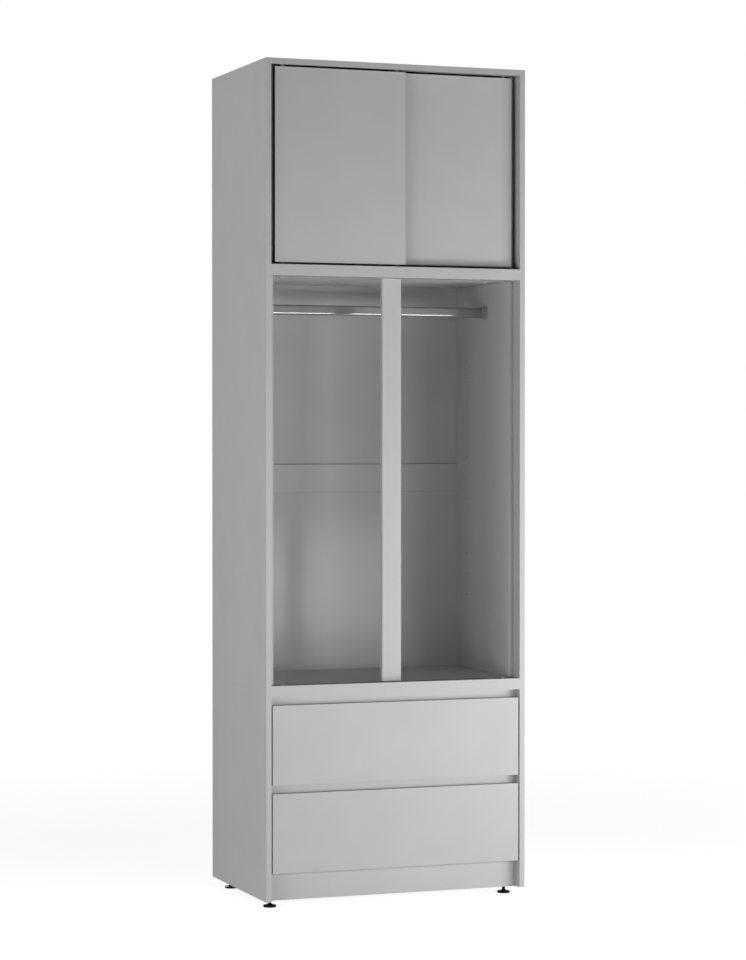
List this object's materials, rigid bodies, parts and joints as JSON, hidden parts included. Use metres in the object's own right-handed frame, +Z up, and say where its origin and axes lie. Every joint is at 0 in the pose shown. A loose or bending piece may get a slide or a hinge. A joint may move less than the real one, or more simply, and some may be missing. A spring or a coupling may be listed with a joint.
{
  "type": "wardrobe with drawers",
  "caption": "Tall grey board wardrobe with a loft box behind sliding doors, an open hanging bay with a rod and a post, and drawers with finger gaps below.",
  "frame": {"origin": "on the floor under the middle of the wardrobe", "axes": "+Z up, the front with the drawers looks along -Y, +X to the right as seen from the front"},
  "size_m": [0.8, 0.515, 2.425],
  "materials": {
    "grey_board": "light grey melamine on chipboard, fine matt",
    "door_board": "light grey melamine on chipboard, fine matt",
    "drawer_front_board": "light grey melamine on chipboard, fine matt",
    "drawer_box_board": "grey melamine on thin chipboard, matt",
    "thin_panel": "grey lacquered hardboard",
    "rod_chrome": "bright chrome plate",
    "socket_metal": "plated die cast",
    "track_plastic": "dark grey plastic",
    "glide_plastic": "pale grey plastic",
    "runner_steel": "zinc plated sheet",
    "foot_plastic": "black plastic",
    "fastener_steel": "zinc plated"
  },
  "bodies": {
    "cabinet": {"base_left_side": "grey_board", "base_right_side": "grey_board", "base_top": "grey_board", "base_bottom": "grey_board", "plinth": "grey_board", "upper_finger_rail": "grey_board", "lower_finger_rail": "grey_board", "bay_left_side": "grey_board", "bay_right_side": "grey_board", "bay_top": "grey_board", "bay_bottom": "grey_board", "bay_back_rail": "grey_board", "bay_post": "grey_board", "bay_left_strip": "grey_board", "bay_right_strip": "grey_board", "loft_left_side": "grey_board", "loft_right_side": "grey_board", "loft_top": "grey_board", "loft_bottom": "grey_board", "loft_left_strip": "grey_board", "loft_right_strip": "grey_board", "base_back": "thin_panel", "bay_lower_back": "thin_panel", "bay_upper_back": "thin_panel", "loft_back": "thin_panel", "hanging_rod": "rod_chrome", "left_rod_socket": "socket_metal", "right_rod_socket": "socket_metal", "bay_lower_tracks": "track_plastic", "bay_upper_tracks": "track_plastic", "loft_lower_tracks": "track_plastic", "loft_upper_tracks": "track_plastic", "bay_track_stops": "glide_plastic", "foot_brackets": "foot_plastic", "cam_locks": "fastener_steel", "module_bolts": "fastener_steel", "upper_drawer_runner_cabinet_members": "runner_steel", "lower_drawer_runner_cabinet_members": "runner_steel"},
    "upper_drawer": {"upper_drawer_front": "drawer_front_board", "upper_drawer_left_side": "drawer_box_board", "upper_drawer_right_side": "drawer_box_board", "upper_drawer_back": "drawer_box_board", "upper_drawer_bottom": "thin_panel", "upper_drawer_runner_drawer_members": "runner_steel"},
    "upper_drawer_runner_middle": {"upper_drawer_runner_middle_members": "runner_steel"},
    "lower_drawer": {"lower_drawer_front": "drawer_front_board", "lower_drawer_left_side": "drawer_box_board", "lower_drawer_right_side": "drawer_box_board", "lower_drawer_back": "drawer_box_board", "lower_drawer_bottom": "thin_panel", "lower_drawer_runner_drawer_members": "runner_steel"},
    "lower_drawer_runner_middle": {"lower_drawer_runner_middle_members": "runner_steel"},
    "left_sliding_door": {"left_door": "door_board", "left_door_glides": "glide_plastic"},
    "right_sliding_door": {"right_door": "door_board", "right_door_glides": "glide_plastic"},
    "front_left_levelling_foot": {"front_left_foot": "foot_plastic"},
    "front_right_levelling_foot": {"front_right_foot": "foot_plastic"},
    "rear_left_levelling_foot": {"rear_left_foot": "foot_plastic"},
    "rear_right_levelling_foot": {"rear_right_foot": "foot_plastic"}
  },
  "joints": [
    {"name": "upper_drawer_slide", "type": "slide", "parent": "cabinet", "child": "upper_drawer", "axis": [0, -1, 0], "range_m": [0, 0.4]},
    {"name": "upper_runner_slide", "type": "slide", "parent": "cabinet", "child": "upper_drawer_runner_middle", "axis": [0, -1, 0], "range_m": [0, 0.2]},
    {"name": "lower_drawer_slide", "type": "slide", "parent": "cabinet", "child": "lower_drawer", "axis": [0, -1, 0], "range_m": [0, 0.4]},
    {"name": "lower_runner_slide", "type": "slide", "parent": "cabinet", "child": "lower_drawer_runner_middle", "axis": [0, -1, 0], "range_m": [0, 0.2]},
    {"name": "left_door_slide", "type": "slide", "parent": "cabinet", "child": "left_sliding_door", "axis": [1, 0, 0], "range_m": [0, 0.34]},
    {"name": "right_door_slide", "type": "slide", "parent": "cabinet", "child": "right_sliding_door", "axis": [-1, 0, 0], "range_m": [0, 0.338]},
    {"name": "front_left_foot_turn", "type": "hinge", "parent": "cabinet", "child": "front_left_levelling_foot", "pos_m": [-0.365, -0.1825, 0.04], "axis": [0, 0, 1], "continuous": true},
    {"name": "front_right_foot_turn", "type": "hinge", "parent": "cabinet", "child": "front_right_levelling_foot", "pos_m": [0.365, -0.1825, 0.04], "axis": [0, 0, 1], "continuous": true},
    {"name": "rear_left_foot_turn", "type": "hinge", "parent": "cabinet", "child": "rear_left_levelling_foot", "pos_m": [-0.365, 0.1825, 0.04], "axis": [0, 0, 1], "continuous": true},
    {"name": "rear_right_foot_turn", "type": "hinge", "parent": "cabinet", "child": "rear_right_levelling_foot", "pos_m": [0.365, 0.1825, 0.04], "axis": [0, 0, 1], "continuous": true}
  ],
  "couplings": [
    {"joint": "upper_runner_slide", "follows": "upper_drawer_slide", "ratio": 0.5},
    {"joint": "lower_runner_slide", "follows": "lower_drawer_slide", "ratio": 0.5}
  ]
}
